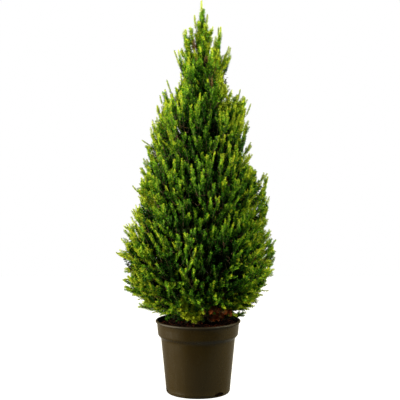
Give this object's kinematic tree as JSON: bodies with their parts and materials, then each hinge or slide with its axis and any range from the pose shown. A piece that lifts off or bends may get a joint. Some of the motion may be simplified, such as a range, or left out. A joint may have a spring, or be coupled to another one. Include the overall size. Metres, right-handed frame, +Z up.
{
  "type": "potted dwarf alberta spruce",
  "caption": "Dense cone-shaped dwarf spruce in a round nursery pot: trunk, boughs, masses of needles, compost and a collared pot with drain slots.",
  "frame": {"origin": "centre of the pot's flat underside", "axes": "+Z up along the trunk, -Y towards the plant's front"},
  "size_m": [0.3984, 0.4019, 1.006],
  "materials": {
    "pot_plastic": "semi-gloss moulded plastic",
    "compost": "damp crumbs",
    "bark": "rough scaly bark",
    "foliage": "fine needles"
  },
  "bodies": {
    "root": {"bough_belly_1": "bark", "bough_belly_2": "bark", "bough_belly_3": "bark", "bough_belly_4": "bark", "bough_belly_5": "bark", "bough_belly_6": "bark", "bough_shoulder_1": "bark", "bough_shoulder_2": "bark", "bough_shoulder_3": "bark", "bough_shoulder_4": "bark", "bough_skirt_1": "bark", "bough_skirt_2": "bark", "bough_skirt_3": "bark", "bough_skirt_4": "bark", "bough_skirt_5": "bark", "bough_skirt_6": "bark", "bough_spire_1": "bark", "bough_spire_2": "bark", "bough_spire_3": "bark", "bough_spire_4": "bark", "bough_spire_5": "bark", "bough_spire_6": "bark", "bough_spire_7": "bark", "bough_waist_1": "bark", "bough_waist_2": "bark", "bough_waist_3": "bark", "bough_waist_4": "bark", "bough_waist_5": "bark", "compost": "compost", "mass_belly_1": "foliage", "mass_belly_2": "foliage", "mass_belly_3": "foliage", "mass_belly_4": "foliage", "mass_belly_5": "foliage", "mass_belly_6": "foliage", "mass_leader": "foliage", "mass_shoulder_1": "foliage", "mass_shoulder_2": "foliage", "mass_shoulder_3": "foliage", "mass_shoulder_4": "foliage", "mass_skirt_1": "foliage", "mass_skirt_2": "foliage", "mass_skirt_3": "foliage", "mass_skirt_4": "foliage", "mass_skirt_5": "foliage", "mass_skirt_6": "foliage", "mass_spire_1": "foliage", "mass_spire_2": "foliage", "mass_spire_3": "foliage", "mass_spire_4": "foliage", "mass_spire_5": "foliage", "mass_spire_6": "foliage", "mass_spire_7": "foliage", "mass_waist_1": "foliage", "mass_waist_2": "foliage", "mass_waist_3": "foliage", "mass_waist_4": "foliage", "mass_waist_5": "foliage", "pot": "pot_plastic", "trunk": "bark"}
  },
  "joints": []
}
